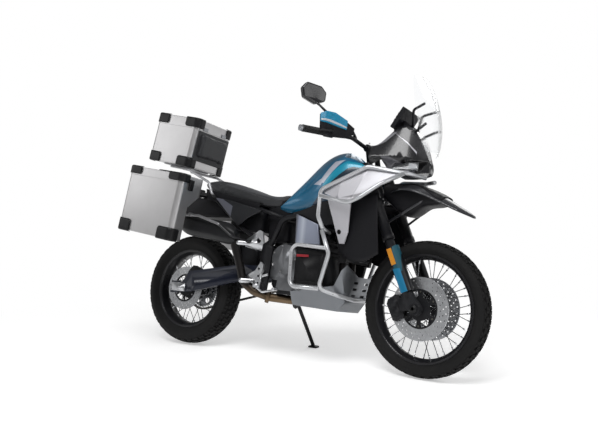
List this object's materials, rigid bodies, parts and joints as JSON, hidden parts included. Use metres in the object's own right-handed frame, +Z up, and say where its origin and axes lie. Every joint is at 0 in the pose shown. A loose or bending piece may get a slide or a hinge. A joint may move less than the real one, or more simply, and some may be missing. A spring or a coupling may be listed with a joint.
{
  "type": "adventure motorcycle",
  "caption": "Adventure motorcycle with wire wheels, high front fender, crash bars, screen and hard side and top cases, leaning on its side stand.",
  "frame": {"origin": "on the floor under the middle of the bounding box", "axes": "+X forward, +Y to the rider's left, +Z up; the machine leans to its left on the side stand"},
  "size_m": [2.2488, 1.1098, 1.5534],
  "materials": {
    "front_tyre": "matt",
    "front_rim": "satin",
    "front_hub": "satin",
    "front_spokes": "polished",
    "front_brake_discs": "satin",
    "rear_tyre": "matt",
    "rear_rim": "satin",
    "rear_hub": "satin",
    "rear_spokes": "polished",
    "rear_brake_disc": "satin",
    "rear_sprocket": "satin",
    "fork_uppers": "satin",
    "fork_sliders": "satin",
    "fork_guards": "gloss",
    "front_axle": "satin",
    "front_calipers": "satin",
    "handlebar": "satin",
    "hand_controls": "matt",
    "handguards": "satin",
    "handguard_shields": "gloss",
    "mirrors": "matt",
    "high_fender": "satin",
    "main_frame": "satin",
    "swingarm": "satin",
    "rear_axle": "satin",
    "rear_caliper": "satin",
    "drive_chain": "satin",
    "rear_shock": "satin",
    "engine": "matt",
    "engine_covers": "satin",
    "exhaust_header": "satin",
    "muffler": "satin",
    "radiator": "matt",
    "fuel_tank": "gloss",
    "seat": "matt",
    "tail_panels": "satin",
    "engine_side_panels": "satin",
    "side_fairings": "satin",
    "nose_fairing": "satin",
    "windscreen": "clear",
    "cockpit": "matt",
    "lamp_lenses": "gloss",
    "crash_bars": "satin",
    "side_bags": "gloss",
    "skid_plate": "satin",
    "footpegs": "satin",
    "luggage_racks": "satin",
    "rear_mudguard": "matt",
    "right_case": "satin",
    "left_case": "satin",
    "top_case": "satin",
    "right_case_lid": "satin",
    "left_case_lid": "satin",
    "top_case_lid": "satin",
    "case_guards": "satin",
    "right_lid_guards": "satin",
    "left_lid_guards": "satin",
    "top_lid_guards": "satin",
    "backrest_pad": "matt",
    "side_stand": "satin"
  },
  "bodies": {
    "front_wheel": {"front_tyre": "front_tyre", "front_rim": "front_rim", "front_hub": "front_hub", "front_spokes": "front_spokes", "front_brake_discs": "front_brake_discs"},
    "rear_wheel": {"rear_tyre": "rear_tyre", "rear_rim": "rear_rim", "rear_hub": "rear_hub", "rear_spokes": "rear_spokes", "rear_brake_disc": "rear_brake_disc", "rear_sprocket": "rear_sprocket"},
    "steering": {"fork_uppers": "fork_uppers", "fork_sliders": "fork_sliders", "fork_guards": "fork_guards", "front_axle": "front_axle", "front_calipers": "front_calipers", "handlebar": "handlebar", "hand_controls": "hand_controls", "handguards": "handguards", "handguard_shields": "handguard_shields", "mirrors": "mirrors", "high_fender": "high_fender"},
    "chassis": {"main_frame": "main_frame", "swingarm": "swingarm", "rear_axle": "rear_axle", "rear_caliper": "rear_caliper", "drive_chain": "drive_chain", "rear_shock": "rear_shock", "engine": "engine", "engine_covers": "engine_covers", "exhaust_header": "exhaust_header", "muffler": "muffler", "radiator": "radiator", "fuel_tank": "fuel_tank", "seat": "seat", "tail_panels": "tail_panels", "engine_side_panels": "engine_side_panels", "side_fairings": "side_fairings", "nose_fairing": "nose_fairing", "windscreen": "windscreen", "cockpit": "cockpit", "lamp_lenses": "lamp_lenses", "crash_bars": "crash_bars", "side_bags": "side_bags", "skid_plate": "skid_plate", "footpegs": "footpegs", "luggage_racks": "luggage_racks", "rear_mudguard": "rear_mudguard", "right_case": "right_case", "left_case": "left_case", "top_case": "top_case", "case_guards": "case_guards", "backrest_pad": "backrest_pad"},
    "right_lid": {"right_case_lid": "right_case_lid", "right_lid_guards": "right_lid_guards"},
    "left_lid": {"left_case_lid": "left_case_lid", "left_lid_guards": "left_lid_guards"},
    "top_lid": {"top_case_lid": "top_case_lid", "top_lid_guards": "top_lid_guards"},
    "side_stand": {"side_stand": "side_stand"}
  },
  "joints": [
    {"name": "steering_turn", "type": "hinge", "parent": "chassis", "child": "steering", "pos_m": [0.44658, -0.00598, 0.93833], "axis": [-0.4195, 0.1709, 0.8915], "range_deg": [-29.4, 42.6]},
    {"name": "front_wheel_spin", "type": "hinge", "parent": "steering", "child": "front_wheel", "pos_m": [0.77672, -0.12516, 0.34455], "axis": [0.1043, 0.9847, -0.1396], "continuous": true},
    {"name": "rear_wheel_spin", "type": "hinge", "parent": "chassis", "child": "rear_wheel", "pos_m": [-0.753, -0.1226, 0.32984], "axis": [0, 0.9821, -0.1882], "continuous": true},
    {"name": "side_stand_fold", "type": "hinge", "parent": "chassis", "child": "side_stand", "pos_m": [-0.081, 0.01933, 0.27351], "axis": [0.1801, 0.9044, 0.3869], "range_deg": [0, 93]},
    {"name": "right_lid_hinge", "type": "hinge", "parent": "chassis", "child": "right_lid", "pos_m": [-0.72807, -0.29814, 0.98113], "axis": [-0.9907, 0.0255, 0.1333], "range_deg": [0, 95]},
    {"name": "left_lid_hinge", "type": "hinge", "parent": "chassis", "child": "left_lid", "pos_m": [-0.72807, 0.28131, 0.87007], "axis": [0.9907, -0.0255, -0.1333], "range_deg": [0, 95]},
    {"name": "top_lid_hinge", "type": "hinge", "parent": "chassis", "child": "top_lid", "pos_m": [-0.73268, 0.0619, 1.29245], "axis": [0, 0.9821, -0.1882], "range_deg": [0, 95]}
  ]
}
